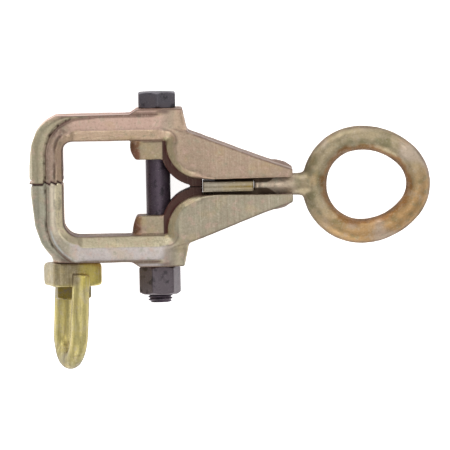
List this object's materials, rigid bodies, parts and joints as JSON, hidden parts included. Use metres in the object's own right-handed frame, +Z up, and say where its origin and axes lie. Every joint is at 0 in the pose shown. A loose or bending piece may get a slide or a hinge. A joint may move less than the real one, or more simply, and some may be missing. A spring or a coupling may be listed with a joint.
{
  "type": "self-tightening pulling clamp",
  "caption": "Two-jaw self-tightening pulling clamp with box-shaped mouth, clamp bolt, oval pull ring and side swivel eye.",
  "frame": {"origin": "centre of the footprint, on the surface that the clamp lies on", "axes": "+X is the pull direction, from the jaws to the pull ring; +Y runs up the clamp bolt to its head; +Z is up, through the thickness of the jaws"},
  "size_m": [0.2618, 0.1803, 0.05],
  "materials": {
    "jaw_forging": "forged, yellow zinc plated",
    "ring_forging": "forged, yellow zinc plated",
    "eye_forging": "forged, yellow zinc plated",
    "plate_zinc": "machined, yellow zinc plated",
    "plain_steel": "satin",
    "black_fastener": "black oxide, satin"
  },
  "bodies": {
    "lower_jaw": {"lower_jaw": "jaw_forging", "swivel_bolt": "black_fastener"},
    "upper_jaw": {"upper_jaw": "jaw_forging"},
    "clamp_bolt": {"clamp_bolt": "black_fastener"},
    "clamp_nut": {"clamp_nut": "black_fastener"},
    "pull_ring": {"pull_ring": "ring_forging", "spreader_plate": "plate_zinc", "spreader_pin": "plain_steel"},
    "swivel_eye": {"swivel_eye": "eye_forging"}
  },
  "joints": [
    {"name": "nut_turn", "type": "hinge", "parent": "lower_jaw", "child": "clamp_nut", "pos_m": [-0.04695, -0.033, 0.025], "axis": [0, -1, 0], "range_deg": [0, 972]},
    {"name": "jaw_open", "type": "hinge", "parent": "lower_jaw", "child": "upper_jaw", "pos_m": [0.01305, 0.028, 0.025], "axis": [0, 0, -1], "range_deg": [0, 4]},
    {"name": "bolt_rise", "type": "slide", "parent": "lower_jaw", "child": "clamp_bolt", "axis": [0, 1, 0], "range_m": [0, 0.0054]},
    {"name": "ring_pull", "type": "slide", "parent": "lower_jaw", "child": "pull_ring", "axis": [1, 0, 0], "range_m": [0, 0.008]},
    {"name": "swivel_turn", "type": "hinge", "parent": "lower_jaw", "child": "swivel_eye", "pos_m": [-0.10395, -0.028, 0.025], "axis": [0, 1, 0], "continuous": true}
  ],
  "couplings": [
    {"joint": "nut_turn", "follows": "jaw_open", "ratio": 242.99},
    {"joint": "bolt_rise", "follows": "jaw_open", "m_per_rad": 0.07734}
  ]
}
